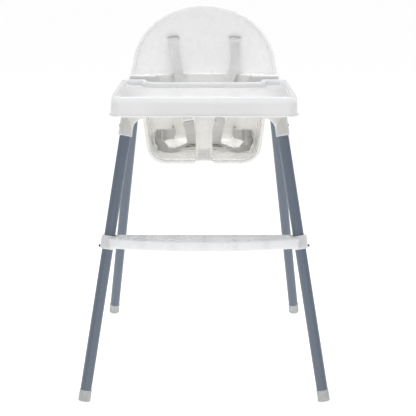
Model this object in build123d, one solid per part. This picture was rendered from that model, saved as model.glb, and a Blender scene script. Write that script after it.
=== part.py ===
from build123d import *
import os
from math import cos, radians, sin, sqrt

# A high chair: a moulded bucket seat with a domed back on four splayed tube legs, a slide-on tray,
# a clip-on footrest and a five-point harness.
# Millimetres. +X is to the right of somebody facing the chair, the chair faces -Y, +Z is up.
# The origin is on the floor under the middle of the chair.

# ---------------------------------------------------------------- driving dimensions
# legs
FRONT_FOOT = (285.0, -315.0)      # foot centres on the floor
REAR_FOOT = (267.0, 315.0)
LEG_MARK_Z = 600.0                # height at which the leg lines are set
FRONT_MARK = (189.0, -172.0)
REAR_MARK = (191.0, 177.0)
TUBE_R = 13.25
TUBE_WALL = 1.2
SEAM_Z = 337.0                    # where the upper tube ends on the lower one
LEG_TOP_Z = 678.0
SPIGOT_LENGTH = 48.0              # swaged end of the upper tube, inside the lower one
CAP_R = 14.3
CAP_LENGTH = 27.0
CAP_FLOOR = 4.0
CAP_AXIS_Z = 2.6                  # height of the cap's centre: its low edge is worn flat by the floor

# snap buttons
PIN_R = 3.0
PIN_HOLE_R = 3.2
PIN_HEAD_R = 4.4
PIN_HEAD = 1.2
SOCKET_PIN_Z = 636.0
FOOTREST_PIN_Z = 358.0
JOINT_PIN_Z = 316.0
PIN_PROUD = 1.0                   # how far a pin's tip stands out of what it locks
STEP_PIN_PROUD = 3.5
LEAF = 0.6
LEAF_WIDTH = 8.0

# seat
WALL = 3.5
SEAT_BOTTOM_Z = 546.0
CREASE_Z = 722.0                  # the ledge between the bucket and the back
DECK_Z = 690.0                    # top of the armrest deck
DECK_X = 203.0
DECK_FRONT, DECK_REAR = -178.0, 192.0
SKIRT = 21.0
SOCKET_R = 16.5
SOCKET_BOTTOM_Z = 613.0
ARCH_FOOT_Z = 622.0               # where the arch leaves a collar's inner side
ARCH_FRONT, ARCH_REAR = -176.0, 186.0
BACK_BOTTOM_X = 197.0
BACK_TOP_Z = 900.0
BACK_CURVE_R = 650.0              # the back is part of a hollow ball of this radius
BACK_CURVE_CENTRE = (0.0, -418.0, 946.0)
BACK_RIM = 9.0                    # width of the back's rolled rim
BACK_RIM_PROUD = 4.0
BACK_RIM_ROLL = 2.5
BACK_SKIRT = 16.0                 # how far the rim turns back behind
SLOT_X, SLOT_Z = 84.0, 813.0      # shoulder strap slots
POST_X = 20.0                     # half width of the crotch post
LIP = 7.0                         # width of the rolled edge round the leg openings
LIP_FRONT, LIP_BACK = -171.0, -148.0
LIP_ROLL = 3.5

# tray
TRAY_X = 215.0                    # half width of the rim
TRAY_FRONT, TRAY_REAR = -214.5, 131.0
TRAY_NOTCH_Y, TRAY_NOTCH_X = 66.0, 150.0
TRAY_RIM_Z, TRAY_BOTTOM_Z = 712.0, 666.0
TRAY_FLOOR_Z = 699.0
TRAY_FLARE = 3.5
TRAY_CORNER = 20.0                # radius of the front corners
TRAY_WALL = 3.0
RIM_WIDTH = 9.0
CUP_R = 35.0
CUP_AT = (-150.0, -152.0)
RAIL_X = 199.0                    # the tray's rails reach in under the deck's skirt from here

# footrest
STEP_TOP_Z, STEP_BOTTOM_Z = 383.0, 360.0
STEP_BACK, STEP_FRONT, STEP_END_FRONT = -211.0, -280.0, -249.0
STEP_X = 226.0
STEP_COLLAR_R = 19.0
STEP_COLLAR_BOTTOM_Z = 353.0

# harness
STRAP = 26.0
STRAP_T = 1.6
STRAP_GAP = 0.3                   # between webbing and the pieces that hold it
STOP_Y = 223.0                    # the bars behind the back that the shoulder straps end on
SHOULDER_TOP = (84.0, 207.0, 811.0)
SHOULDER_END = (30.0, 31.0, 563.0)
SLIDER_AT = {-1: 0.80, 1: 0.765}  # where each shoulder slider stands along its strap, left then right
WAIST_SLOT = (79.0, 109.0, 575.0)
WAIST_SLOT_TURN = 27.0
WAIST_SLIDER = (109.0, 30.0, 581.0)
WAIST_SLIDER_TURN = 25.0          # how far the waist strap turns forwards where it is in its slider
CROTCH_SLOT_Y = -42.0
BUCKLE_Y = 8.0
BUCKLE_LOW, BUCKLE_HIGH = 551.5, 565.5
BUCKLE_X = 18.0
TONGUE_Z = 557.0
TONGUE_T = 3.0
BUCKLE_BUTTON_R = 8.0


# ---------------------------------------------------------------- helpers
CENTRED_UP = (Align.CENTER, Align.CENTER, Align.MIN)
SIDES = (("left", -1), ("right", 1))


def rod(plane, radius, start, end):
    """A round bar along a plane's normal, between two distances from the plane."""
    return plane * Pos(0, 0, start) * Cylinder(radius, end - start, align=CENTRED_UP)


def block(x, y, z):
    """A box between two corners, given as three (low, high) pairs."""
    low = (x[0], y[0], z[0])
    return Pos(*low) * Box(x[1] - x[0], y[1] - y[0], z[1] - z[0], align=(Align.MIN,) * 3)


def square_to(direction, axis):
    """The unit vector nearest to a direction that is square to an axis."""
    return (direction - axis * direction.dot(axis)).normalized()


def plan(points, radii, z):
    """A flat face at a height, with a corner at each point rounded to its own radius."""
    face = make_face(Polyline(*points, close=True))
    for (x, y), radius in zip(points, radii):
        corner = face.vertices().sort_by_distance((x, y, 0))[0]
        face = fillet(corner, radius)
    return Pos(0, 0, z) * face


def save(shape, name):
    """One STEP file per piece, named after it."""
    shape.label = name
    export_step(shape, f"parts/{name}.step")


# ---------------------------------------------------------------- legs
class Leg:
    """A leg's line, from its foot up to its seat socket."""

    def __init__(self, name, side, foot, mark):
        self.name = name
        self.side = side
        self.foot = Vector(side * foot[0], foot[1], 0)
        line = Vector(side * mark[0], mark[1], LEG_MARK_Z) - self.foot
        self.up = line.normalized()
        self.rise = line * (1 / LEG_MARK_Z)

    def at(self, z):
        return self.foot + self.rise * z

    def plane(self, z):
        return Plane(origin=self.at(z), x_dir=square_to(Vector(1, 0, 0), self.up), z_dir=self.up)

    def length(self, low, high):
        return (high - low) / self.up.Z

    def pin_plane(self, z, facing):
        """A plane on the leg's line whose normal points out of the tube."""
        out = square_to(facing, self.up)
        return Plane(origin=self.at(z), x_dir=self.up, z_dir=out)


LEGS = [Leg(f"{end}_{word}", side, foot, mark)
        for end, foot, mark in (("front", FRONT_FOOT, FRONT_MARK), ("rear", REAR_FOOT, REAR_MARK))
        for word, side in SIDES]
TUBE_BORE_R = TUBE_R - TUBE_WALL
SPIGOT_R = TUBE_BORE_R - 0.1
SPIGOT_BORE_R = SPIGOT_R - TUBE_WALL


def outwards(leg):
    return Vector(leg.side, 0, 0)


def rearwards(leg):
    return Vector(0, 1, 0)


def upper_tube(leg):
    seam = leg.plane(SEAM_Z)
    length = leg.length(SEAM_Z, LEG_TOP_Z)
    tube = rod(seam, TUBE_R, 0, length) + rod(seam, SPIGOT_R, -SPIGOT_LENGTH, 0)
    tube -= rod(seam, TUBE_BORE_R, 2, length)
    tube -= rod(seam, SPIGOT_BORE_R, -SPIGOT_LENGTH, 2)
    tube -= rod(leg.pin_plane(SOCKET_PIN_Z, outwards(leg)), PIN_HOLE_R, 0, 2 * TUBE_R)
    tube -= rod(leg.pin_plane(JOINT_PIN_Z, rearwards(leg)), PIN_HOLE_R, 0, 2 * TUBE_R)
    if leg.foot.Y < 0:
        tube -= rod(leg.pin_plane(FOOTREST_PIN_Z, outwards(leg)), PIN_HOLE_R, 0, 2 * TUBE_R)
    return tube


def lower_tube(leg):
    seam = leg.plane(SEAM_Z)
    bottom = -leg.length(CAP_AXIS_Z, SEAM_Z) + CAP_FLOOR
    tube = rod(seam, TUBE_R, bottom, 0) - rod(seam, TUBE_BORE_R, bottom, 0)
    return tube - rod(leg.pin_plane(JOINT_PIN_Z, rearwards(leg)), PIN_HOLE_R, 0, 2 * TUBE_R)


def foot_cap(leg):
    base = leg.plane(CAP_AXIS_Z)
    cap = rod(base, CAP_R, 0, CAP_LENGTH)
    cap = fillet(cap.edges().filter_by(GeomType.CIRCLE), 1.2)
    cap -= rod(base, TUBE_R + 0.05, CAP_FLOOR, CAP_LENGTH)
    return cap - Pos(*leg.foot) * Box(80, 80, 20, align=(Align.CENTER, Align.CENTER, Align.MAX))


# ---------------------------------------------------------------- snap buttons
def head_seat(bore_r):
    """Distance from the leg's line at which a pin's head rests inside the tube."""
    return sqrt(bore_r ** 2 - PIN_HEAD_R ** 2) - 0.15


def snap_button(leg, z, facing, bore_r, tip):
    """A pin with a head inside the tube; tip is how far its end is from the leg's line."""
    out = leg.pin_plane(z, facing)
    seat = head_seat(bore_r)
    pin = rod(out, PIN_R, seat, tip)
    pin = fillet(pin.edges().filter_by(GeomType.CIRCLE).sort_by_distance(leg.at(z))[-1], 1.4)
    return pin + rod(out, PIN_HEAD_R, seat - PIN_HEAD, seat)


def leaf_spring(leg, z, facing, bore_r, reach):
    """A bent strip that pushes the pin out from the far wall; reach is its length along the tube."""
    near = head_seat(bore_r) - PIN_HEAD - LEAF / 2
    far = -sqrt(bore_r ** 2 - (LEAF_WIDTH / 2) ** 2) + LEAF
    turn = 4.0 if reach > 0 else -4.0
    route = Polyline((-1.5 * turn, near), (1.5 * turn, near), (reach, 1.5), (reach, -1.5), (0, far))
    strip = extrude(trace(route, LEAF), LEAF_WIDTH / 2, both=True)
    # the strip is drawn in the plane of the tube's line (local X) and the pin (local Y)
    out = square_to(facing, leg.up)
    return Plane(origin=leg.at(z), x_dir=leg.up, z_dir=leg.up.cross(out)) * strip


# ---------------------------------------------------------------- seat
def bucket_solid(inset):
    """The bucket's volume, drawn in from its outside by a distance."""
    def ring(x, front, rear, corner, z):
        points = ((-x, front), (x, front), (x, rear), (-x, rear))
        return plan(points, (44 - inset, 44 - inset, corner - inset, corner - inset), z)

    low = ring(130 - inset, -152 + inset, 112 - inset, 95, SEAT_BOTTOM_Z + inset)
    high = ring(158 - inset, -160 + inset, 180 - inset, 128, CREASE_Z + inset)
    solid = loft([low, high])
    bottom = solid.edges().group_by(Axis.Z)[0]
    return fillet(bottom, 34 - inset)


def dome_face(inset, z_low):
    """The back's outline seen from the front: straight flanks, tight shoulders and a flat crown."""
    top = BACK_TOP_Z - inset
    x = BACK_BOTTOM_X - inset
    flank = (x - 12, z_low + 66)
    shoulder = (122 - inset * 0.75, 864 - inset * 0.85)
    arcs = []
    for s in (-1, 1):
        arcs.append(Line((s * x, z_low), (s * flank[0], flank[1])))
        arcs.append(ThreePointArc((s * flank[0], flank[1]), (s * (165 - inset * 0.9), 820 - inset * 0.6),
                                  (s * shoulder[0], shoulder[1])))
    crown = ThreePointArc((-shoulder[0], shoulder[1]), (0, top), (shoulder[0], shoulder[1]))
    base = Line((-x, z_low), (x, z_low))
    return make_face(arcs + [crown, base])


def dome_prism(inset, z_low):
    """The outline carried straight back through the whole seat."""
    face = Plane.XZ * dome_face(inset, z_low)
    return extrude(face, amount=-400)


def ball(radius):
    return Pos(*BACK_CURVE_CENTRE) * Sphere(radius)


def back_panel():
    """The domed back, with a rolled rim that stands proud at the front and turns back behind."""
    base_z = DECK_Z + 18
    outside = dome_prism(0, base_z)
    panel = outside & (ball(BACK_CURVE_R + WALL) - ball(BACK_CURVE_R))
    front = BACK_CURVE_R - BACK_RIM_PROUD
    band = (outside - dome_prism(BACK_RIM, base_z - BACK_RIM)) & (ball(BACK_CURVE_R + WALL) - ball(front))
    centre = Vector(*BACK_CURVE_CENTRE)
    edges = [edge for edge in band.edges()
             if edge.length > 20 and (edge @ 0.5).Z > base_z + 1
             and all(abs((edge @ share - centre).length - front) < 0.1 for share in (0, 0.5, 1))]
    band = fillet(edges, BACK_RIM_ROLL)
    behind = ball(BACK_CURVE_R + BACK_SKIRT) - ball(BACK_CURVE_R)
    skirt = (outside - dome_prism(WALL, base_z - WALL)) & behind
    return panel + band + skirt


def deck():
    """The armrest deck round the bucket, with a skirt under its edge."""
    def outline(inset, z):
        x = DECK_X - inset
        front, rear = DECK_FRONT + inset, DECK_REAR - inset
        return plan(((-x, front), (x, front), (x, rear), (-x, rear)), (32 - inset,) * 4, z)

    body = extrude(outline(0, DECK_Z - SKIRT), SKIRT)
    body = fillet(body.faces().sort_by(Axis.Z)[-1].edges(), 2.5)
    return body - extrude(outline(WALL, DECK_Z - SKIRT), SKIRT - WALL)


def ledge(bucket_inside):
    """The step behind the tray that carries the back: a riser, a top and its two ends."""
    riser_y = TRAY_REAR + 5
    box = block((-BACK_BOTTOM_X, BACK_BOTTOM_X), (riser_y, 215), (DECK_Z - WALL, CREASE_Z))
    box = fillet(box.edges().filter_by(Axis.X).group_by(Axis.Y)[0].sort_by(Axis.Z)[-1], 6)
    hollow = block((-BACK_BOTTOM_X + WALL, BACK_BOTTOM_X - WALL), (riser_y + WALL, 240),
                   (DECK_Z - 20, CREASE_Z - WALL))
    return ((box - hollow) & ball(BACK_CURVE_R + WALL / 2)) - bucket_inside


def socket(leg):
    """A collar that the leg tube pushes up into."""
    low = leg.plane(SOCKET_BOTTOM_Z)
    length = leg.length(SOCKET_BOTTOM_Z, DECK_Z) - 5
    collar = rod(low, SOCKET_R, 0, length)
    return fillet(collar.edges().filter_by(GeomType.CIRCLE).sort_by(Axis.Z)[0], 1.2)


def socket_bore(leg):
    low = leg.plane(SOCKET_BOTTOM_Z)
    length = leg.length(SOCKET_BOTTOM_Z, LEG_TOP_Z)
    bore = rod(low, TUBE_R + 0.1, -5, length + 0.2)
    return bore + rod(leg.pin_plane(SOCKET_PIN_Z, outwards(leg)), PIN_HOLE_R, 0, 2 * SOCKET_R)


def arch_face(side, grow):
    """An arch from a socket's inner side to the bucket, seen from the front; grow thins its band."""
    x, foot = 180.0, ARCH_FOOT_Z + grow
    outline = make_face([
        Line((140, DECK_Z - 2), (x, DECK_Z - 2)),
        Line((x, DECK_Z - 2), (x, foot)),
        Line((x, foot), (171 + grow, foot)),
        ThreePointArc((171 + grow, foot), (165 + grow * 0.8, 641 + grow * 0.6), (147, 655 + grow)),
        Line((147, 655 + grow), (140, 655 + grow)),
        Line((140, 655 + grow), (140, DECK_Z - 2)),
    ])
    return outline if side > 0 else mirror(outline, about=Plane.YZ)


def arch(side, skin_y, inner_y):
    """The arched gusset beside a socket: a skin flush with the collar, and an edge turned in."""
    def slab(grow, start, end):
        low, high = sorted((start, end))
        return Pos(0, high, 0) * extrude(Plane.XZ * arch_face(side, grow), high - low)

    behind = skin_y + (WALL if inner_y > skin_y else -WALL)
    return slab(0, skin_y, inner_y) - slab(WALL, behind, inner_y + (inner_y - skin_y))


def opening_face(side, grow, inner_x=POST_X, corner=5):
    """A leg opening seen from the front; grow widens it to the outside of its rolled edge."""
    low = SEAT_BOTTOM_Z + LIP - 1 - grow
    x_low, x_high = 124 + grow, 141 + grow
    points = ((side * inner_x, low), (side * x_low, low), (side * x_high, 683), (side * inner_x, 683))
    face = make_face(Polyline(*points, close=True))
    face = fillet(face.vertices().sort_by_distance((side * x_low, low, 0))[0], 39 + grow)
    return fillet(face.vertices().sort_by_distance((side * inner_x, low, 0))[0], corner)


def leg_opening(side):
    return Pos(0, -110, 0) * extrude(Plane.XZ * opening_face(side, 0), 90)


def opening_lip(side):
    """The rolled edge round the bottom and outside of a leg opening."""
    depth = LIP_BACK - LIP_FRONT
    ring = Pos(0, LIP_BACK, 0) * extrude(Plane.XZ * opening_face(side, LIP, corner=8), depth)
    ring = fillet(ring.faces().sort_by(Axis.Y)[0].edges(), LIP_ROLL)
    inside = extrude(Plane.XZ * opening_face(side, 0, inner_x=POST_X - 15), depth + 10)
    return ring - Pos(0, LIP_BACK + 5, 0) * inside


def crotch_post():
    """The channel that closes the front between the legs, open towards the child."""
    post = block((-POST_X, POST_X), (-160, -142), (SEAT_BOTTOM_Z + 4, DECK_Z - 2))
    post = fillet(post.edges().filter_by(Axis.Z).group_by(Axis.Y)[0], 5)
    groove = block((-POST_X + 6, POST_X - 6), (-170, -157), (SEAT_BOTTOM_Z, DECK_Z - 8))
    hollow = block((-POST_X + WALL, POST_X - WALL), (-157 + WALL, -120), (SEAT_BOTTOM_Z + 8, DECK_Z))
    return post - groove - hollow


def waist_slot_place(side):
    x, y, z = WAIST_SLOT
    return Pos(side * x, y, z) * Rot(0, 0, -side * WAIST_SLOT_TURN)


def strap_slots():
    """Shoulder slots in the back, waist slots low in the bucket, side slots and a crotch slot."""
    cuts = []
    for _, side in SIDES:
        cuts.append(Pos(side * SLOT_X, 215, SLOT_Z) * Box(STRAP + 8, 60, 6))
        cuts.append(waist_slot_place(side) * Box(5, 60, STRAP + 6))
        cuts.append(Pos(side * 134, -78, 582) * Box(40, 7, 26))
    cuts.append(Pos(0, CROTCH_SLOT_Y, SEAT_BOTTOM_Z) * Box(STRAP + 6, 6, 20))
    return cuts


def seat_shell():
    inside = bucket_solid(WALL)
    bucket = bucket_solid(0)
    deck_cut = block((-230, 230), (-230, TRAY_REAR + 5), (DECK_Z, CREASE_Z + 10))
    shell = deck() + (bucket - deck_cut) + ledge(inside) + back_panel() + crotch_post()
    for leg in LEGS:
        shell += socket(leg)
    for _, side in SIDES:
        shell += arch(side, ARCH_FRONT, LIP_FRONT + 11)
        shell += arch(side, ARCH_REAR, ARCH_REAR - 14)
        shell += opening_lip(side)
    shell -= inside - crotch_post()
    for leg in LEGS:
        shell -= socket_bore(leg)
    for _, side in SIDES:
        shell -= leg_opening(side)
    for cut in strap_slots():
        shell -= cut
    return shell


# ---------------------------------------------------------------- tray
def tray_plan(grow, z):
    """The tray from above: square at the front, with two wings either side of the child."""
    x, wing = TRAY_X + grow, TRAY_NOTCH_X - grow
    front, rear, notch = TRAY_FRONT - grow, TRAY_REAR + grow, TRAY_NOTCH_Y + grow
    points = ((-x, front), (x, front), (x, rear), (wing, rear),
              (wing, notch), (-wing, notch), (-wing, rear), (-x, rear))
    outer, notch_r = (TRAY_CORNER, TRAY_CORNER, 20, 12), 34 - grow
    front_l, front_r, rear_r, tip = (max(4, radius + grow) for radius in outer)
    return plan(points, (front_l, front_r, rear_r, tip, notch_r, notch_r, tip, rear_r), z)


def tray_underside():
    """The space under the tray floor, open at the bottom and at the back."""
    def ring(grow, z):
        x, front = TRAY_X - TRAY_WALL + grow, TRAY_FRONT + TRAY_WALL - grow
        corner = TRAY_CORNER - TRAY_WALL
        return plan(((-x, front), (x, front), (x, 320), (-x, 320)), (corner, corner, 2, 2), z)

    top = TRAY_FLOOR_Z - TRAY_WALL
    grow_top = TRAY_FLARE * (TRAY_RIM_Z - top) / (TRAY_RIM_Z - TRAY_BOTTOM_Z)
    return loft([ring(grow_top, top), ring(TRAY_FLARE, TRAY_BOTTOM_Z)])


def tray():
    body = loft([tray_plan(TRAY_FLARE, TRAY_BOTTOM_Z), tray_plan(0, TRAY_RIM_Z)])
    body = fillet(body.edges().group_by(Axis.Z)[-1], 3)
    body += extrude(tray_plan(TRAY_FLARE + 3, TRAY_BOTTOM_Z), 2.5)
    body -= tray_underside()
    cup = Pos(*CUP_AT, TRAY_FLOOR_Z - 7)
    body += cup * Cylinder(CUP_R + TRAY_WALL, 5, align=CENTRED_UP)
    recess = loft([tray_plan(-RIM_WIDTH - 3, TRAY_FLOOR_Z), tray_plan(-RIM_WIDTH, TRAY_RIM_Z + 1)])
    body -= recess
    body -= cup * Pos(0, 0, TRAY_WALL) * Cylinder(CUP_R, 20, align=CENTRED_UP)
    for _, side in SIDES:
        rail = sorted((side * RAIL_X, side * (TRAY_X + 3.5)))
        body += block(rail, (TRAY_FRONT + 30, TRAY_REAR - 6), (TRAY_BOTTOM_Z, TRAY_BOTTOM_Z + 2.5))
        runner = sorted((side * 186, side * 190))
        body += block(runner, (TRAY_FRONT + 40, TRAY_REAR - 12), (DECK_Z + 0.4, TRAY_FLOOR_Z - 2))
    return body


# ---------------------------------------------------------------- footrest
def step_plan(inset, z):
    back, ends, middle = STEP_BACK - inset, STEP_END_FRONT + inset, STEP_FRONT + inset
    x = STEP_X - 2.5 * inset
    outline = [ThreePointArc((-x, ends), (0, middle), (x, ends)), Line((x, ends), (x, back)),
               Line((x, back), (-x, back)), Line((-x, back), (-x, ends))]
    return Pos(0, 0, z) * make_face(outline)


def footrest():
    body = extrude(step_plan(0, STEP_BOTTOM_Z), STEP_TOP_Z - STEP_BOTTOM_Z)
    body = fillet(body.edges().filter_by(Axis.Z).group_by(Axis.Y)[0], 12)
    body = fillet(body.faces().sort_by(Axis.Z)[-1].edges(), 3)
    hollow = extrude(step_plan(3, STEP_BOTTOM_Z), STEP_TOP_Z - STEP_BOTTOM_Z - 3)
    for x in (-140, -70, 0, 70, 140):
        hollow -= block((x - 1.2, x + 1.2), (-300, -200), (STEP_BOTTOM_Z, STEP_TOP_Z))
    front_legs = [leg for leg in LEGS if leg.foot.Y < 0]
    collars = []
    for leg in front_legs:
        low = leg.plane(STEP_COLLAR_BOTTOM_Z)
        collar = rod(low, STEP_COLLAR_R, 0, leg.length(STEP_COLLAR_BOTTOM_Z, STEP_TOP_Z + 1))
        collars.append(fillet(collar.edges().filter_by(GeomType.CIRCLE), 1.5))
        hollow -= collar
    body -= hollow
    for collar in collars:
        body += collar
    for leg in front_legs:
        body -= rod(leg.plane(STEP_TOP_Z), TUBE_R + 0.1, -60, 40)
        body -= rod(leg.pin_plane(FOOTREST_PIN_Z, outwards(leg)), PIN_HOLE_R, 0, 2 * STEP_COLLAR_R)
    return body


# ---------------------------------------------------------------- harness
def ribbon(stations):
    """Webbing through a list of (point, direction of travel, direction of its width)."""
    sections = []
    for point, along, across in stations:
        along, across = Vector(*along).normalized(), Vector(*across)
        place = Plane(origin=point, x_dir=square_to(across, along), z_dir=along)
        sections.append(place * Rectangle(STRAP, STRAP_T))
    return loft(sections, ruled=True)


def flip(side, point):
    return (side * point[0], point[1], point[2])


def shoulder_line(side):
    top = Vector(*flip(side, SHOULDER_TOP))
    return top, Vector(*flip(side, SHOULDER_END)) - top


def shoulder_strap(side):
    top, run = shoulder_line(side)
    start = (side * SLOT_X, STOP_Y - 2, SLOT_Z)
    into = (0, -1, 0)
    bend = run.normalized() + Vector(0, -1, 0)
    across = (1, 0, 0)
    return ribbon([(start, into, across), ((top.X, top.Y, SLOT_Z), tuple(bend), across),
                   (tuple(top + run * 0.04), tuple(run), across), (tuple(top + run), tuple(run), across)])


def shoulder_slider_place(side):
    top, run = shoulder_line(side)
    along = run.normalized()
    return Plane(origin=top + run * SLIDER_AT[side], x_dir=square_to(Vector(1, 0, 0), along),
                 z_dir=square_to(Vector(1, 0, 0), along).cross(along))


def waist_slider_run(side):
    """The way the waist strap goes through its slider."""
    turn = radians(WAIST_SLIDER_TURN)
    return Vector(side * cos(turn), -sin(turn), 0)


def waist_slider_place(side):
    face = Vector(0, 0, 1).cross(waist_slider_run(side))
    return Plane(origin=flip(side, WAIST_SLIDER), x_dir=(0, 0, 1), z_dir=face * side)


def waist_strap(side):
    """From its slot low in the back, out through its slider, then round and in to the buckle."""
    upright, slot = (0, 0, 1), Vector(*flip(side, WAIST_SLOT))
    out = Vector(side * sin(radians(WAIST_SLOT_TURN)), cos(radians(WAIST_SLOT_TURN)), 0)
    run, middle = waist_slider_run(side), Vector(*flip(side, WAIST_SLIDER))
    return ribbon([
        (tuple(slot + out * 14), tuple(out * -1), upright),
        (tuple(slot - out * 8), (0.1 * side, -1, 0), upright),
        ((side * 81, 66, 578), (side * 0.35, -1, 0), upright),
        (tuple(middle - run * 16), tuple(run), upright),
        (tuple(middle + run * 14), tuple(run), upright),
        ((side * 124, 6, 579), (-side * 0.1, -1, -0.1), upright),
        ((side * 119, -20, 573), (-side * 0.5, -1, -0.3), (side * 0.3, 0, 1)),
        ((side * 105, -38, 565), (-side, -0.6, -0.3), (side * 0.3, 0.5, 0.8)),
        ((side * 88, -42, 558), (-side, 0.3, -0.2), (0.25 * side, 1, 0.5)),
        ((side * 66, -18, 555), (-side, 0.8, 0), (0.6 * side, 1, 0)),
        ((side * 43.2, 6, 558.5), (-side, 0, 0), (0, 1, 0)),
    ])


def crotch_strap():
    across = (1, 0, 0)
    return ribbon([((0, CROTCH_SLOT_Y, 541.5), (0, 0, 1), across),
                   ((0, CROTCH_SLOT_Y, 554), (0, 0.5, 1), across),
                   ((0, CROTCH_SLOT_Y + 8, 558.5), (0, 1, 0.2), across),
                   ((0, BUCKLE_Y - 20, 558.5), (0, 1, 0), across)])


def slider():
    """A three-bar adjuster lying flat: webbing runs along Y over the middle bar, under the end bars."""
    inner = STRAP / 2 + STRAP_GAP
    inside = STRAP_T / 2 + STRAP_GAP
    wall, half = 1.5, 12.0
    frame = None
    for _, side in SIDES:
        rail = sorted((side * inner, side * (inner + 3)))
        piece = block(rail, (-half, half), (-inside - wall, inside + wall))
        frame = piece if frame is None else frame + piece
        bar = sorted((side * (half - 3.5), side * half))
        frame += block((-inner, inner), bar, (inside, inside + wall))
    return frame + block((-inner, inner), (-2.2, 2.2), (-inside - wall, -inside))


def strap_stops():
    """The bars behind the seat that keep the ends of the webbing from pulling through."""
    bars = []
    for _, side in SIDES:
        bars.append(Pos(side * SLOT_X, STOP_Y, SLOT_Z) * Box(STRAP + 10, 4, 9))
        bars.append(waist_slot_place(side) * Pos(0, 16, 0) * Box(9, 4, STRAP + 10))
    bars.append(Pos(0, CROTCH_SLOT_Y, 539.5) * Box(STRAP + 10, 9, 4))
    return Compound([fillet(bar.edges(), 1).solid() for bar in bars])


def buckle_body():
    half_y = 20
    body = block((-BUCKLE_X, BUCKLE_X), (BUCKLE_Y - half_y, BUCKLE_Y + half_y), (BUCKLE_LOW, BUCKLE_HIGH))
    body = fillet(body.edges().filter_by(Axis.Z), 7)
    body = fillet(body.faces().sort_by(Axis.Z)[-1].edges(), 2)
    for _, side in SIDES:
        mouth = sorted((side * 5, side * (BUCKLE_X + 1)))
        body -= block(mouth, (BUCKLE_Y - 8.5, BUCKLE_Y + 8.5), (TONGUE_Z - 0.5, TONGUE_Z + TONGUE_T + 0.5))
    well = Pos(0, BUCKLE_Y, TONGUE_Z + TONGUE_T + 0.7) * Cylinder(BUCKLE_BUTTON_R + 0.2, 20, align=CENTRED_UP)
    return body - well


def buckle_tongue(side):
    """A blade that goes into the buckle, with a wide loop outside it for the two straps."""
    blade = block(sorted((side * 7, side * (BUCKLE_X + 2))), (BUCKLE_Y - 8, BUCKLE_Y + 8),
                  (TONGUE_Z, TONGUE_Z + TONGUE_T))
    loop = block(sorted((side * (BUCKLE_X + 0.4), side * 42)), (BUCKLE_Y - 17, BUCKLE_Y + 19),
                 (TONGUE_Z, TONGUE_Z + TONGUE_T))
    loop = fillet(loop.edges().filter_by(Axis.Z), 5)
    window = block(sorted((side * 32, side * 37)), (BUCKLE_Y - 13, BUCKLE_Y + 10), (550, 570))
    return blade + loop - window


def buckle_button():
    base = Pos(0, BUCKLE_Y, BUCKLE_HIGH - 2.2)
    button = base * Cylinder(BUCKLE_BUTTON_R, 4, align=CENTRED_UP)
    return fillet(button.edges().filter_by(GeomType.CIRCLE).sort_by(Axis.Z)[-1], 1.2)


def buckle_spring():
    low, high = TONGUE_Z + TONGUE_T + 0.7, BUCKLE_HIGH - 2.2
    ring = Cylinder(6.5, high - low, align=CENTRED_UP) - Cylinder(5, high - low, align=CENTRED_UP)
    return Pos(0, BUCKLE_Y, low) * ring


# ---------------------------------------------------------------- all the pieces
def save_buttons(leg):
    """Each snap button with the leaf spring behind it."""
    sets = [("socket", SOCKET_PIN_Z, outwards(leg), TUBE_BORE_R, SOCKET_R + PIN_PROUD, -36),
            ("joint", JOINT_PIN_Z, rearwards(leg), SPIGOT_BORE_R, TUBE_R + PIN_PROUD, -36)]
    if leg.foot.Y < 0:
        tip = STEP_COLLAR_R + STEP_PIN_PROUD
        sets.append(("footrest", FOOTREST_PIN_Z, outwards(leg), TUBE_BORE_R, tip, 36))
    for place, z, facing, bore_r, tip, reach in sets:
        save(snap_button(leg, z, facing, bore_r, tip), f"{place}_button_{leg.name}")
        save(leaf_spring(leg, z, facing, bore_r, reach), f"{place}_spring_{leg.name}")


def main():
    os.makedirs("parts", exist_ok=True)
    save(seat_shell(), "seat_shell")
    save(tray(), "tray")
    save(footrest(), "footrest")
    for leg in LEGS:
        save(upper_tube(leg), f"upper_leg_{leg.name}")
        save(lower_tube(leg), f"lower_leg_{leg.name}")
        save(foot_cap(leg), f"foot_cap_{leg.name}")
        save_buttons(leg)
    for word, side in SIDES:
        save(shoulder_strap(side), f"shoulder_strap_{word}")
        save(shoulder_slider_place(side) * slider(), f"shoulder_slider_{word}")
        save(waist_strap(side), f"waist_strap_{word}")
        save(waist_slider_place(side) * slider(), f"waist_slider_{word}")
        save(buckle_tongue(side), f"buckle_tongue_{word}")
    save(crotch_strap(), "crotch_strap")
    save(strap_stops(), "strap_stops")
    save(buckle_body(), "buckle_body")
    save(buckle_button(), "buckle_button")
    save(buckle_spring(), "buckle_spring")


main()
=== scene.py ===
"""The looks of a high chair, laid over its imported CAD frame, as an add-on that is run as a script."""
import math

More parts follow.
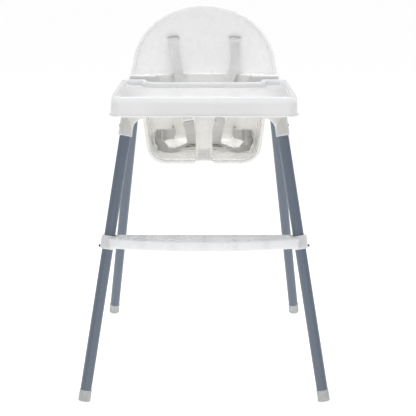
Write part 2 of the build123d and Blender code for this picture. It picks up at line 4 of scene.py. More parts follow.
import bmesh
import bpy
from bpy.props import FloatProperty, FloatVectorProperty, PointerProperty
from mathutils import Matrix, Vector


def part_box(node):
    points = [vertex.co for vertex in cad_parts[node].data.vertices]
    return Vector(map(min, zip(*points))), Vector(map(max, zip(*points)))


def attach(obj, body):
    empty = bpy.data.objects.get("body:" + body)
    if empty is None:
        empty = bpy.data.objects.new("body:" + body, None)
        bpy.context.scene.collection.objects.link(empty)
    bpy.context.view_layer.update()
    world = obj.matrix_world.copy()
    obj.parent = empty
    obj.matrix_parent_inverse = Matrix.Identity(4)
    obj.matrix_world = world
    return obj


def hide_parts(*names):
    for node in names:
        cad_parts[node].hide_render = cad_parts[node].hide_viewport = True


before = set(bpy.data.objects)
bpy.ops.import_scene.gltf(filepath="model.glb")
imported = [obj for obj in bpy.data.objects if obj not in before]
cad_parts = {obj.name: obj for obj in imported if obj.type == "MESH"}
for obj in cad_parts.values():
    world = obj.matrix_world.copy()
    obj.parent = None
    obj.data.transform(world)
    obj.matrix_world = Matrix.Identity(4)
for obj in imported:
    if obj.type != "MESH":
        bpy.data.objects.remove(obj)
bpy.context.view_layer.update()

bl_info = {
    "name": "High Chair Looks",
    "version": (1, 0, 0),
    "blender": (4, 5, 0),
    "location": "View3D > Sidebar > High Chair",
    "description": "Webbing, stitching, moulded plastic and painted tube finishes for a high chair",
    "category": "Object",
}

CHAIR = "chair"
SIDES = (("left", -1), ("right", 1))

ACROSS, UPRIGHT = Vector((1, 0, 0)), Vector((0, 0, 1))
EVEN_DEPTH = (1.0, 1.0, 1.0)
SPRING_STEEL = (0.45, 0.45, 0.46)
# Heights over which the seat eases into its painted shadow and painted warm reflection below the crease.
SHADOW_FROM, SHADOW_TO = 0.68, 0.73
CHEVRON = 0.0032
STATION_STEP = 0.0025
THREAD_CLEARANCE = 0.0001


# ---------------------------------------------------------------- sizes and colours a user would change
def colour(name, text, default):
    return FloatVectorProperty(name=name, description=text, default=default, min=0, max=1, size=3,
                               subtype="COLOR")


def length(name, text, default):
    return FloatProperty(name=name, description=text, default=default, min=0, precision=4,
                         unit="LENGTH", subtype="DISTANCE")


class ChairPlastic(bpy.types.PropertyGroup):
    """Moulded plastic."""
    seat: colour("Seat back", "Colour of the upper part of the seat moulding", (0.868, 0.870, 0.880))
    # Seat bucket: painted shadow and painted warm reflection, the darker, warmer tint the seat takes below
    # its crease where the tray shades it.
    bucket: colour("Seat bucket", "Colour of the seat moulding in the bucket, a little warmer",
                   (0.865, 0.850, 0.808))
    tray: colour("Tray", "Colour of the tray", (0.84, 0.845, 0.855))
    footrest: colour("Footrest", "Colour of the footrest", (0.76, 0.765, 0.78))
    slider: colour("Sliders", "Colour of the strap adjusters", (0.90, 0.90, 0.89))
    buckle: colour("Buckle", "Colour of the buckle and its tongues", (0.50, 0.47, 0.39))
    gloss: FloatProperty(name="Roughness", description="How dull the moulded plastic is", default=0.27,
                         min=0.05, max=1, subtype="FACTOR")


class ChairMetal(bpy.types.PropertyGroup):
    """Painted tubes, plated buttons and rubber caps."""
    paint: colour("Tube paint", "Colour of the powder coat on the legs", (0.130, 0.163, 0.212))
    button: colour("Buttons", "Colour of the snap buttons", (0.075, 0.045, 0.035))
    cap: colour("Foot caps", "Colour of the rubber foot caps", (0.50, 0.51, 0.515))


class ChairWebbing(bpy.types.PropertyGroup):
    """Harness webbing and its stitches."""
    cloth: colour("Webbing", "Colour of the webbing", (0.70, 0.705, 0.70))
    thread: colour("Thread", "Colour of the stitches", (0.66, 0.66, 0.65))
    width: length("Width", "Width of the webbing", 0.026)
    thickness: length("Thickness", "Thickness of the webbing", 0.0014)
    rib: length("Rib pitch", "Distance between two ribs of the weave", 0.0013)
    stitch: length("Stitch length", "Length of one stitch", 0.0030)
    gap: length("Stitch gap", "Gap between two stitches", 0.0010)
    thread_radius: length("Thread radius", "Half the thickness of the thread", 0.0004)


class ChairStage(bpy.types.PropertyGroup):
    """Floor, lights and camera."""
    floor: length("Floor size", "Width of the floor", 60.0)
    height: length("Camera height", "Height of the camera over the floor", 1.032)
    distance: length("Camera distance", "Distance of the camera in front of the middle of the chair", 2.571)
    pitch: FloatProperty(name="Camera pitch", description="How far the camera looks down",
                         default=math.radians(13.9), unit="ROTATION", subtype="ANGLE")
    lens: FloatProperty(name="Focal length", description="Focal length of the camera's lens",
                        default=88.9, min=1, unit="CAMERA")
    key: FloatProperty(name="Key light", description="Power of the large light in front", default=9,
                       min=0, unit="POWER")
    low: FloatProperty(name="Low light", description="Power of the light in front of the seat", default=7,
                       min=0, unit="POWER")
    top: FloatProperty(name="Top light", description="Power of the light over the tray", default=28,
                       min=0, unit="POWER")
    bounce: FloatProperty(name="Bounce light", default=0.065, min=0, unit="POWER",
                          description="Power of the light that fills the seat under the tray")
    fill: FloatProperty(name="Sky", description="Strength of the light all round", default=0.45, min=0)
    floor_glow: FloatProperty(name="Floor glow", description="Light given off by the lit floor paper",
                              default=0.58, min=0)


# ---------------------------------------------------------------- node materials
class Shader:
    """Builds one Principled material, a node at a time."""

    def __init__(self, name, base, roughness, **sockets):
        self.material = bpy.data.materials.new(name)
        self.material.use_nodes = True
        self.material.diffuse_color = (*base, 1)
        self.tree = self.material.node_tree
        self.surface = self.tree.nodes["Principled BSDF"]
        self.base = base
        self.set(self.surface, "Base Color", (*base, 1))
        self.set(self.surface, "Roughness", roughness)
        for socket, value in sockets.items():
            self.set(self.surface, socket.replace("_", " "), value)
        self.place = self.add("ShaderNodeTexCoord")

    def add(self, kind, **settings):
        node = self.tree.nodes.new(kind)
        for key, value in settings.items():
            setattr(node, key, value)
        return node

    def set(self, node, socket, value):
        node.inputs[socket].default_value = value

    def link(self, source, target):
        self.tree.links.new(source, target)

    def noise(self, scale, detail=3.0, source="Object", roughness=0.5):
        node = self.add("ShaderNodeTexNoise")
        self.set(node, "Scale", scale)
        self.set(node, "Detail", detail)
        self.set(node, "Roughness", roughness)
        self.link(self.place.outputs[source], node.inputs["Vector"])
        return node.outputs["Fac"]

    def spread(self, value, low, high, from_low=0.3, from_high=0.7):
        node = self.add("ShaderNodeMapRange")
        ends = {"From Min": from_low, "From Max": from_high, "To Min": low, "To Max": high}
        for socket, number in ends.items():
            self.set(node, socket, number)
        self.link(value, node.inputs["Value"])
        return node.outputs["Result"]

    def maths(self, operation, first, second):
        node = self.add("ShaderNodeMath", operation=operation)
        for index, value in enumerate((first, second)):
            if hasattr(value, "links"):
                self.link(value, node.inputs[index])
            else:
                node.inputs[index].default_value = value
        return node.outputs[0]

    def tint(self, amount, dark, light):
        """The base colour, between a darker and a lighter share of itself as amount goes from 0 to 1."""
        node = self.add("ShaderNodeMix", data_type="RGBA")
        node.inputs["A"].default_value = (*(min(1, c * dark) for c in self.base), 1)
        node.inputs["B"].default_value = (*(min(1, c * light) for c in self.base), 1)
        self.link(amount, node.inputs["Factor"])
        self.link(node.outputs["Result"], self.surface.inputs["Base Color"])

    def painted_shadow_below(self, shadow_tint, low, high):
        """The base colour above a height, easing below it to a darker, warmer tint of painted shadow and
        painted warm reflection.
        """
        split = self.add("ShaderNodeSeparateXYZ")
        self.link(self.place.outputs["Object"], split.inputs[0])
        node = self.add("ShaderNodeMix", data_type="RGBA")
        node.inputs["A"].default_value = (*shadow_tint, 1)
        self.link(self.spread(split.outputs["Z"], 0, 1, low, high), node.inputs["Factor"])
        self.link(self.surface.inputs["Base Color"].links[0].from_socket, node.inputs["B"])
        self.link(node.outputs["Result"], self.surface.inputs["Base Color"])

    def bump(self, height, strength, distance):
        node = self.add("ShaderNodeBump")
        self.set(node, "Strength", strength)
        self.set(node, "Distance", distance)
        self.link(height, node.inputs["Height"])
        self.link(node.outputs["Normal"], self.surface.inputs["Normal"])

    def uneven_gloss(self, value, low, high):
        self.link(self.spread(value, low, high), self.surface.inputs["Roughness"])


def moulded_plastic(name, base, roughness, depth=0.013, shadow_tint=None):
    """Polypropylene: lets some light through, with faint flow marks, uneven satin gloss and a fine skin."""
    shader = Shader(name, base, roughness, Subsurface_Weight=1.0, Subsurface_Scale=depth, IOR=1.49)
    shader.set(shader.surface, "Subsurface Radius", EVEN_DEPTH)
    shader.tint(shader.spread(shader.noise(5, 1), 0, 1), 0.992, 1.0)
    # Where a shadow tint is given, the seat takes painted shadow and painted warm reflection below its
    # crease.
    if shadow_tint:
        shader.painted_shadow_below(shadow_tint, SHADOW_FROM, SHADOW_TO)
    shader.uneven_gloss(shader.noise(30, 2), roughness - 0.02, roughness + 0.03)
    shader.bump(shader.noise(1500, 2), 0.04, 0.0001)
    return shader.material


def powder_coat(name, base):
    """Powder coat on tube: an even colour with fine mottling and a shallow orange-peel skin."""
    shader = Shader(name, base, 0.36, Coat_Weight=0.25, Coat_Roughness=0.22)
    shader.tint(shader.spread(shader.noise(420, 4), 0, 1), 0.90, 1.10)
    shader.uneven_gloss(shader.noise(160, 3), 0.31, 0.43)
    shader.bump(shader.noise(900, 3), 0.22, 0.0004)
    return shader.material


def cap_rubber(name, base):
    """Soft rubber: matte, dusty in patches and finely pitted."""
    shader = Shader(name, base, 0.62)
    shader.tint(shader.spread(shader.noise(120, 5), 0, 1), 0.86, 1.08)
    shader.uneven_gloss(shader.noise(240, 3), 0.55, 0.72)
    shader.bump(shader.noise(1600, 4), 0.35, 0.0004)
    return shader.material


def small_plastic(name, base, roughness=0.42):
    """A small satin moulding with a sparked skin."""
    shader = Shader(name, base, roughness, Subsurface_Weight=0.8, Subsurface_Scale=0.003, IOR=1.5)
    shader.set(shader.surface, "Subsurface Radius", EVEN_DEPTH)
    shader.tint(shader.spread(shader.noise(300, 3), 0, 1), 0.94, 1.05)
    shader.uneven_gloss(shader.noise(500, 3), roughness - 0.06, roughness + 0.08)
    shader.bump(shader.noise(2600, 3), 0.30, 0.0003)
    return shader.material


def drawn_steel(name, base, roughness):
    """Plated or blued steel with fine scuffs."""
    shader = Shader(name, base, roughness, Metallic=1.0)
    shader.tint(shader.spread(shader.noise(700, 4), 0, 1), 0.8, 1.15)
    shader.uneven_gloss(shader.noise(1200, 3), roughness - 0.08, roughness + 0.12)
    shader.bump(shader.noise(2200, 3), 0.2, 0.0003)
    return shader.material


def woven_webbing(name, base, rib):
    """Flat polyester webbing: chevron ribs across it and a soft sheen. It reads the strip's UVs, in metres,
    across and along."""
    shader = Shader(name, base, 0.82, Sheen_Weight=0.25, Sheen_Roughness=0.5, Subsurface_Weight=1.0,
                    Subsurface_Scale=0.006)
    shader.set(shader.surface, "Subsurface Radius", EVEN_DEPTH)
    split = shader.add("ShaderNodeSeparateXYZ")
    shader.link(shader.place.outputs["UV"], split.inputs[0])
    across, along = split.outputs["X"], split.outputs["Y"]
    fold = shader.maths("PINGPONG", across, CHEVRON)
    slant = shader.maths("ADD", along, fold)
    ribs = shader.maths("SINE", shader.maths("MULTIPLY", slant, 2 * math.pi / rib), 0)
    yarns = shader.maths("SINE", shader.maths("MULTIPLY", across, 2 * math.pi / (rib * 0.75)), 0)
    weave = shader.maths("ADD", shader.maths("MULTIPLY", ribs, 0.6), shader.maths("MULTIPLY", yarns, 0.4))
    fuzz = shader.noise(2400, 4)
    height = shader.maths("ADD", weave, fuzz)
    dirt = shader.noise(60, 4)
    # Painted shading: the weave's grooves are darker and its ribs lighter, with real dirt in patches added
    # on top.
    lit = shader.spread(weave, 0.15, 0.75, -1, 1)
    rib_shade_and_dirt = shader.maths("ADD", lit, shader.spread(dirt, -0.15, 0.2))
    shader.tint(rib_shade_and_dirt, 0.78, 1.12)
    shader.bump(height, 0.55, 0.0004)
    return shader.material


def sewing_thread(name, base):
    """Twisted thread."""
    shader = Shader(name, base, 0.7, Sheen_Weight=0.2)
    shader.tint(shader.spread(shader.noise(3000, 3), 0, 1), 0.8, 1.1)
    shader.bump(shader.noise(4000, 2), 0.4, 0.0002)
    return shader.material


def paint(nodes, material):
    """Gives CAD nodes one material."""
    for name in nodes:
        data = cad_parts[name].data
        data.materials.clear()
        data.materials.append(material)


def nodes_like(*starts):
    """The names of the CAD nodes that start with any of these words."""
    return [name for name in sorted(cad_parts) if name.startswith(starts)]


# ---------------------------------------------------------------- mesh helpers
def finished(name, mesh, material, body):
    """Links a mesh as a piece at the origin that rides on a body."""
    piece = bpy.data.objects.new(name, mesh)
    bpy.context.scene.collection.objects.link(piece)
    mesh.materials.clear()
    mesh.materials.append(material)
    mesh.polygons.foreach_set("use_smooth", [True] * len(mesh.polygons))
    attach(piece, body)
    return piece


def eased(stations, step):
    """Points along a smooth line through stations of (point, direction of the width, share of the width)."""
    points = [station[0] for station in stations]
    points = [points[0] * 2 - points[1], *points, points[-1] * 2 - points[-2]]
    run = []
    for i in range(len(stations) - 1):
        p0, p1, p2, p3 = points[i:i + 4]
        t0 = 0.0
        t1 = t0 + (p1 - p0).length ** 0.5
        t2 = t1 + (p2 - p1).length ** 0.5
        t3 = t2 + (p3 - p2).length ** 0.5
        count = max(3, math.ceil((p2 - p1).length / step))
        last = i == len(stations) - 2
        for k in range(count + last):
            share = k / count
            t = t1 + (t2 - t1) * share
            a1 = p0.lerp(p1, (t - t0) / (t1 - t0))
            a2 = p1.lerp(p2, (t - t1) / (t2 - t1))
            a3 = p2.lerp(p3, (t - t2) / (t3 - t2))
            b1 = a1.lerp(a2, (t - t0) / (t2 - t0))
            b2 = a2.lerp(a3, (t - t1) / (t3 - t1))
            across = stations[i][1].normalized().lerp(stations[i + 1][1].normalized(), share)
            width = stations[i][2] + (stations[i + 1][2] - stations[i][2]) * share
            run.append((b1.lerp(b2, (t - t1) / (t2 - t1)), across, width))
    return run


def framed(run):
    """Adds to each point of a run its own travel, width and face directions, and the distance so far."""
    frames, distance = [], 0.0
    for i, (point, across, width) in enumerate(run):
        along = (run[min(i + 1, len(run) - 1)][0] - run[max(i - 1, 0)][0]).normalized()
        across = (across - along * across.dot(along)).normalized()
        if i:
            distance += (point - run[i - 1][0]).length
        frames.append((point, along, across, across.cross(along), width, distance))
    return frames


# Half of a strip's section, as shares of its half width and half thickness.
UPPER_FACE = [(-1, 0.25), (-0.975, 0.8), (-0.93, 1), (-0.6, 0.93), (-0.2, 1), (0.2, 1), (0.6, 0.93),
              (0.93, 1), (0.975, 0.8), (1, 0.25)]


def strip(name, stations, look):
    """A mesh strip of webbing with round selvages, and UVs in metres across and along it."""
    half, thick = look.width / 2, look.thickness / 2
    section = UPPER_FACE + [(a, -h) for a, h in reversed(UPPER_FACE)]
    mesh = bpy.data.meshes.new(name)
    shape = bmesh.new()
    uv = shape.loops.layers.uv.new("webbing")
    rings, where = [], {}
    for point, _, across, face, width, distance in framed(eased(stations, STATION_STEP)):
        ring = []
        for a, h in section:
            vertex = shape.verts.new(point + across * (a * half * width) + face * (h * thick))
            where[vertex] = (a * half, distance)
            ring.append(vertex)
        rings.append(ring)
    for near, far in zip(rings, rings[1:]):
        for i in range(len(near)):
            j = (i + 1) % len(near)
            shape.faces.new((near[i], near[j], far[j], far[i]))
    shape.faces.new(list(reversed(rings[0])))
    shape.faces.new(rings[-1])
    for face in shape.faces:
        for loop in face.loops:
            loop[uv].uv = where[loop.vert]
    bmesh.ops.recalc_face_normals(shape, faces=shape.faces)
    shape.to_mesh(mesh)
    shape.free()
    return mesh


def mm(x, y, z, side=1):
    """A point or direction given in millimetres for the right-hand side, mirrored for the left."""
    return Vector((side * x, y, z)) / 1000


class CHAIR_OT_moulded_parts(bpy.types.Operator):
    """Finish the seat, the tray and the footrest as moulded plastic"""
    bl_idname = "high_chair.moulded_parts"
    bl_label = "Moulded Parts"

    def execute(self, context):
        look = context.scene.chair_plastic
        # The seat's bucket gets painted shadow and painted warm reflection below the crease.
        seat = moulded_plastic("seat_polypropylene", look.seat, look.gloss, shadow_tint=look.bucket)
        paint(["seat_shell"], seat)
        paint(["tray"], moulded_plastic("tray_polypropylene", look.tray, look.gloss - 0.05))
        paint(["footrest"], moulded_plastic("footrest_polypropylene", look.footrest, look.gloss))
        return {"FINISHED"}


class CHAIR_OT_legs(bpy.types.Operator):
    """Finish the tubes, foot caps, snap buttons and springs"""
    bl_idname = "high_chair.legs"
    bl_label = "Legs"

    def execute(self, context):
        look = context.scene.chair_metal
        paint(nodes_like("upper_leg", "lower_leg"), powder_coat("leg_powder_coat", look.paint))
        paint(nodes_like("foot_cap"), cap_rubber("foot_cap_rubber", look.cap))
        buttons = nodes_like("socket_button", "joint_button", "footrest_button")
        paint(buttons, drawn_steel("button_steel", look.button, 0.45))
        springs = nodes_like("socket_spring", "joint_spring", "footrest_spring")
        paint(springs, drawn_steel("spring_steel", SPRING_STEEL, 0.35))
        return {"FINISHED"}


class CHAIR_OT_hardware(bpy.types.Operator):
    """Finish the strap adjusters, the buckle and the bars behind the seat"""
    bl_idname = "high_chair.hardware"
    bl_label = "Harness Hardware"

    def execute(self, context):
        look = context.scene.chair_plastic
        sliders = nodes_like("shoulder_slider", "waist_slider", "strap_stops")
        paint(sliders, small_plastic("slider_plastic", look.slider))
        paint(nodes_like("buckle_body", "buckle_tongue", "buckle_button"),
              small_plastic("buckle_plastic", look.buckle))
        paint(["buckle_spring"], drawn_steel("buckle_spring_steel", SPRING_STEEL, 0.35))
        return {"FINISHED"}


SHOULDER_TOP, SHOULDER_END = (84, 207, 811), (30, 31, 563)
# How far each shoulder strap hangs aside and down, as (share of the way down, aside, sag in millimetres).
SHOULDER_BOW = {-1: ((0.3, 1.5, 1), (0.46, 2, 1.5), (0.57, 0, 0)),
                1: ((0.14, 6, 3), (0.26, 11, 5), (0.37, 6, 3), (0.47, 0, 0), (0.55, 0, 0))}


def shoulder_stations(side):
    """Round its bar behind the back, out of its slot, down with a little slack, and flat onto the tongue."""
    stations = [(mm(84, y, z, side), ACROSS, 1) for y, z in
                ((212, 811.4), (216, 810.6), (219.5, 808.4), (223, 806.9), (226.3, 808.8), (226.8, 813),
                 (226.2, 817), (222.5, 818.7), (218, 816.6), (213.5, 813.6))]
    top, end = mm(*SHOULDER_TOP, side), mm(*SHOULDER_END, side)
    line = end - top
    out = line.cross(ACROSS).normalized()
    stations.append((top + line * 0.03, ACROSS, 1))
    for share, aside, sag in SHOULDER_BOW[side]:
        stations.append((top + line * share + mm(aside, 0, 0, side) - out * (sag / 1000), ACROSS, 1))
    for share in (0.7, 0.83, 0.93):
        stations.append((top + line * share, ACROSS, 1))
    stations += [(mm(30.6, 30, 566, side), ACROSS, 1), (mm(31.3, 24, 563.2, side), ACROSS, 0.95),
                 (mm(32, 12, 562.9, side), ACROSS, 0.95), (mm(32.5, 1, 562.9, side), ACROSS, 0.95)]
    return stations


def waist_stations(side):
    """Round its bar behind the bucket, in through its slot, out through its slider, round to the tongue."""
    turn = math.radians(27)
    out = Vector((side * math.sin(turn), math.cos(turn), 0))
    beside = Vector((side * math.cos(turn), -math.sin(turn), 0))
    slot = mm(79, 109, 575, side)
    stations = []
    for u, v in ((-0.9, 0), (-0.9, 8), (-5.7, 13.6), (-5.9, 18), (0, 19.6), (5.9, 18), (5.7, 13.6),
                 (1, 8), (0.8, -4)):
        stations.append((slot + beside * (u / 1000) + out * (v / 1000), UPRIGHT, 1))
    for x, y, z in ((81, 68, 578), (95, 36.5, 581), (109, 30, 581), (121, 24.4, 581), (124.3, 10, 579)):
        stations.append((mm(x, y, z, side), UPRIGHT, 1))
    stations += [
        (mm(120, -18, 573, side), mm(300, 0, 1000, side), 1),
        (mm(106, -37, 564.5, side), mm(100, 500, 800, side), 1),
        (mm(88, -40, 557, side), mm(250, 1000, 450, side), 1),
        (mm(66, -20, 555.3, side), mm(600, 1000, 0, side), 1),
        (mm(50, 1, 559.5, side), mm(200, 1000, 0, side), 0.9),
    ]
    for x, z in ((43, 561.2), (38, 561.2), (35.2, 560.6), (34.2, 558.5), (35.2, 556.4), (38, 555.8),
                 (44, 555.7)):
        stations.append((mm(x, 6.5, z, side), mm(0, 1000, 0), 0.84))
    stations.append((mm(54, 0, 555.6, side), mm(200, 1000, 0, side), 0.9))
    return stations


def crotch_stations():
    """Round its bar under the seat, up through its slot and forward into the buckle."""
    run = ((-41.1, 548.5), (-41.2, 545), (-36.4, 541.6), (-36.2, 538.2), (-42, 536.6), (-47.8, 538.2),
           (-47.6, 541.6), (-43, 545.5), (-42.6, 552), (-36, 558), (-24, 558.9), (-11, 558.6))
    return [(mm(0, y, z), ACROSS, 1) for y, z in run]


class CHAIR_OT_webbing(bpy.types.Operator):
    """Weave the harness straps"""
    bl_idname = "high_chair.webbing"
    bl_label = "Webbing"

    def execute(self, context):
        look = context.scene.chair_webbing
        cloth = woven_webbing("woven_webbing", look.cloth, look.rib)
        for place, word, stations in harness_runs():
            mesh = strip(f"{place}_webbing{word}", stations, look)
            piece = finished(mesh.name, mesh, cloth, CHAIR)
            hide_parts(f"{place}_strap{word}")
        return {"FINISHED"}


def harness_runs():
    """The webbing's pieces, as (place, side word, stations)."""
    runs = [("crotch", "", crotch_stations())]
    for word, side in SIDES:
        runs.append(("shoulder", "_" + word, shoulder_stations(side)))
        runs.append(("waist", "_" + word, waist_stations(side)))
    return runs


# The seams on each strap: where one starts and ends, as shares of the strap's length, and how far off its
# middle it lies, as a share of its half width.
SEAMS = {
    "shoulder": ((0.945, 0.990, 0.62), (0.945, 0.990, -0.62), (0.945, 0.990, 0.0)),
    "waist": ((0.745, 0.80, 0.6), (0.745, 0.80, -0.6), (0.745, 0.80, 0.0)),
    "crotch": ((0.72, 0.95, 0.62), (0.72, 0.95, -0.62)),
}


def seam_lines(look):
    """Polylines just over the webbing that the stitches follow, with the face direction at each point."""
    lines = []
    for place, _, stations in harness_runs():
        frames = framed(eased(stations, STATION_STEP))
        total = frames[-1][5]
        for first, last, aside in SEAMS[place]:
            line = []
            for point, _, across, up, width, distance in frames:
                if first <= distance / total <= last:
                    lift = look.thickness / 2 + THREAD_CLEARANCE
                    line.append((point + across * (aside * look.width / 2 * width) + up * lift, up))
            lines.append(line)
    return lines


def stitch_tree(material):
    """Lays a stitch every so often along each seam line, lying on the webbing."""
    tree = bpy.data.node_groups.new("stitches", "GeometryNodeTree")
    face = tree.interface
    face.new_socket("Geometry", in_out="INPUT", socket_type="NodeSocketGeometry")
    for name in ("Stitch Length", "Stitch Gap", "Thread Radius"):
        face.new_socket(name, in_out="INPUT", socket_type="NodeSocketFloat")
    face.new_socket("Geometry", in_out="OUTPUT", socket_type="NodeSocketGeometry")
    nodes, link = tree.nodes, tree.links.new
    given, made = nodes.new("NodeGroupInput"), nodes.new("NodeGroupOutput")
    pitch = nodes.new("ShaderNodeMath")
    link(given.outputs["Stitch Length"], pitch.inputs[0])
    link(given.outputs["Stitch Gap"], pitch.inputs[1])
    curve = nodes.new("GeometryNodeMeshToCurve")
    link(given.outputs["Geometry"], curve.inputs["Mesh"])
    points = nodes.new("GeometryNodeCurveToPoints")
    points.mode = "LENGTH"
    link(curve.outputs["Curve"], points.inputs["Curve"])
    link(pitch.outputs[0], points.inputs["Length"])
    up = nodes.new("GeometryNodeInputNamedAttribute")
    up.data_type = "FLOAT_VECTOR"
    up.inputs["Name"].default_value = "face"
    along = nodes.new("FunctionNodeAlignRotationToVector")
    along.axis = "X"
    link(points.outputs["Tangent"], along.inputs["Vector"])
    flat = nodes.new("FunctionNodeAlignRotationToVector")
    flat.axis, flat.pivot_axis = "Z", "X"
    link(along.outputs["Rotation"], flat.inputs["Rotation"])
    link(up.outputs["Attribute"], flat.inputs["Vector"])
    ball = nodes.new("GeometryNodeMeshUVSphere")
    ball.inputs["Segments"].default_value = 6
    ball.inputs["Rings"].default_value = 6
    ball.inputs["Radius"].default_value = 1
    size = nodes.new("ShaderNodeCombineXYZ")
    half = nodes.new("ShaderNodeMath")
    half.operation = "MULTIPLY"
    half.inputs[1].default_value = 0.5
    link(given.outputs["Stitch Length"], half.inputs[0])
    link(half.outputs[0], size.inputs["X"])
    link(given.outputs["Thread Radius"], size.inputs["Y"])
    link(given.outputs["Thread Radius"], size.inputs["Z"])
    sized = nodes.new("GeometryNodeTransform")
    link(ball.outputs["Mesh"], sized.inputs["Geometry"])
    link(size.outputs["Vector"], sized.inputs["Scale"])
    laid = nodes.new("GeometryNodeInstanceOnPoints")
    link(points.outputs["Points"], laid.inputs["Points"])
    link(sized.outputs["Geometry"], laid.inputs["Instance"])
    link(flat.outputs["Rotation"], laid.inputs["Rotation"])
    real = nodes.new("GeometryNodeRealizeInstances")
    link(laid.outputs["Instances"], real.inputs["Geometry"])
    finish = nodes.new("GeometryNodeSetMaterial")
    finish.inputs["Material"].default_value = material
    link(real.outputs["Geometry"], finish.inputs["Geometry"])
    link(finish.outputs["Geometry"], made.inputs["Geometry"])
    return tree


def grown(lines, tree, values, name):
    """A plain mesh: what a Geometry Nodes tree makes of some polylines."""
    guide = bpy.data.meshes.new(name + "_guide")
    points, edges, faces = [], [], []
    for line in lines:
        edges += [(len(points) + i, len(points) + i + 1) for i in range(len(line) - 1)]
        points += [point for point, _ in line]
        faces += [up for _, up in line]
    guide.from_pydata(points, edges, [])
    normals = guide.attributes.new("face", "FLOAT_VECTOR", "POINT")
    normals.data.foreach_set("vector", [c for up in faces for c in up])
    carrier = bpy.data.objects.new(name + "_guide", guide)
    bpy.context.scene.collection.objects.link(carrier)
    modifier = carrier.modifiers.new("nodes", "NODES")
    modifier.node_group = tree
    for item in tree.interface.items_tree:
        if item.in_out == "INPUT" and item.name in values:
            modifier[item.identifier] = values[item.name]
    context = bpy.context.evaluated_depsgraph_get()
    mesh = bpy.data.meshes.new_from_object(carrier.evaluated_get(context))
    mesh.name = name
    bpy.data.objects.remove(carrier)
    bpy.data.meshes.remove(guide)
    return mesh


class CHAIR_OT_stitches(bpy.types.Operator):
    """Sew the folded ends of the webbing"""
    bl_idname = "high_chair.stitches"
    bl_label = "Stitches"

    def execute(self, context):
        look = context.scene.chair_webbing
        thread = sewing_thread("sewing_thread", look.thread)
        values = {"Stitch Length": look.stitch, "Stitch Gap": look.gap,
                  "Thread Radius": look.thread_radius}
        mesh = grown(seam_lines(look), stitch_tree(thread), values, "harness_stitches")
        if not mesh.polygons:
            raise RuntimeError("no stitches were laid")
        finished(mesh.name, mesh, thread, CHAIR)
        return {"FINISHED"}


# ---------------------------------------------------------------- stage
# Each large lamp in metres: name, place, what it faces, width and height.
LAMPS = (
    ("key", (-0.5, -2.4, 3.0), (0, 0, 0.7), (2.4, 1.2)),
    ("low", (0.2, -3.4, 0.5), (0, 0, 0.6), (2.6, 0.9)),
    ("top", (0.0, 0.3, 2.6), (0, 0.05, 0.6), (1.4, 0.8)),
)
BOUNCE_Y = -0.02
BOUNCE_GAP = 0.002
BOUNCE_SIZE = (0.20, 0.22)
SENSOR_WIDTH = 36
SIDE_SHIFT = 0.0095
FAR_CLIP = 100
FLOOR_PAPER = (0.90, 0.90, 0.90)


def soft_light(name, place, target, size, power):
    """Hangs a rectangular light that faces a target."""
    light = bpy.data.lights.new(name, "AREA")
    light.shape = "RECTANGLE"
    light.size, light.size_y = size
    light.energy = power
    lamp = bpy.data.objects.new(name, light)
    lamp.location = place
    lamp.rotation_euler = (Vector(target) - Vector(place)).to_track_quat("-Z", "Y").to_euler()
    bpy.context.scene.collection.objects.link(lamp)
    return lamp


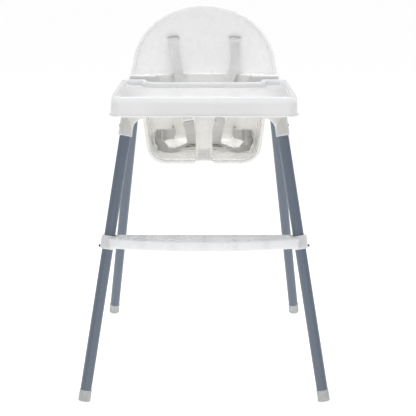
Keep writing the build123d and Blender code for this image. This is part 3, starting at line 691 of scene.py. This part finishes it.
class CHAIR_OT_stage(bpy.types.Operator):
    """Lay the floor, hang the lights and set the camera"""
    bl_idname = "high_chair.stage"
    bl_label = "Stage"

    def execute(self, context):
        look = context.scene.chair_stage
        scene = context.scene
        scene.view_settings.view_transform = "Standard"
        half = look.floor / 2
        mesh = bpy.data.meshes.new("floor")
        corners = [(-half, -half, 0), (half, -half, 0), (half, half, 0), (-half, half, 0)]
        mesh.from_pydata(corners, [], [(0, 1, 2, 3)])
        floor = bpy.data.objects.new("floor", mesh)
        scene.collection.objects.link(floor)
        shader = Shader("floor_paper", FLOOR_PAPER, 0.9, Emission_Strength=look.floor_glow)
        shader.set(shader.surface, "Emission Color", (1, 1, 1, 1))
        shader.tint(shader.spread(shader.noise(3, 2), 0, 1), 0.99, 1.01)
        floor.data.materials.append(shader.material)

        world = bpy.data.worlds.new("studio")
        world.use_nodes = True
        background = world.node_tree.nodes["Background"]
        background.inputs["Color"].default_value = (1, 1, 1, 1)
        background.inputs["Strength"].default_value = look.fill
        scene.world = world
        for name, place, target, size in LAMPS:
            soft_light(name + "_light", place, target, size, getattr(look, name))
        place = (0, BOUNCE_Y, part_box("tray")[0].z + BOUNCE_GAP)
        bounce = soft_light("bounce_light", place, (0, BOUNCE_Y, 0), BOUNCE_SIZE, look.bounce)
        bounce.visible_camera = False

        camera = bpy.data.cameras.new("camera")
        camera.sensor_width = SENSOR_WIDTH
        camera.lens = look.lens
        camera.shift_x = SIDE_SHIFT
        camera.clip_end = FAR_CLIP
        eye = bpy.data.objects.new("camera", camera)
        eye.location = (0, -look.distance, look.height)
        eye.rotation_euler = (math.radians(90) - look.pitch, 0, 0)
        scene.collection.objects.link(eye)
        scene.camera = eye
        return {"FINISHED"}


class CHAIR_PT_panel(bpy.types.Panel):
    """The steps of the high chair's looks, in order"""
    bl_idname = "CHAIR_PT_panel"
    bl_label = "High Chair"
    bl_space_type = "VIEW_3D"
    bl_region_type = "UI"
    bl_category = "High Chair"

    def draw(self, context):
        for group, _ in GROUPS:
            box = self.layout.box()
            box.label(text=group.split("_")[1].title())
            settings = getattr(context.scene, group)
            for key in settings.__annotations__:
                box.prop(settings, key)
        for step in STEPS:
            self.layout.operator(step.bl_idname)


GROUPS = (("chair_plastic", ChairPlastic), ("chair_metal", ChairMetal), ("chair_webbing", ChairWebbing),
          ("chair_stage", ChairStage))
STEPS = (CHAIR_OT_stage, CHAIR_OT_moulded_parts, CHAIR_OT_legs, CHAIR_OT_hardware, CHAIR_OT_webbing,
         CHAIR_OT_stitches)


def register():
    for name, group in GROUPS:
        bpy.utils.register_class(group)
        setattr(bpy.types.Scene, name, PointerProperty(type=group))
    for step in STEPS:
        bpy.utils.register_class(step)
    bpy.utils.register_class(CHAIR_PT_panel)


def unregister():
    bpy.utils.unregister_class(CHAIR_PT_panel)
    for step in reversed(STEPS):
        bpy.utils.unregister_class(step)
    for name, group in reversed(GROUPS):
        delattr(bpy.types.Scene, name)
        bpy.utils.unregister_class(group)


def main():
    register()
    for step in STEPS:
        category, name = step.bl_idname.split(".")
        getattr(getattr(bpy.ops, category), name)()


if __name__ == "__main__":
    main()
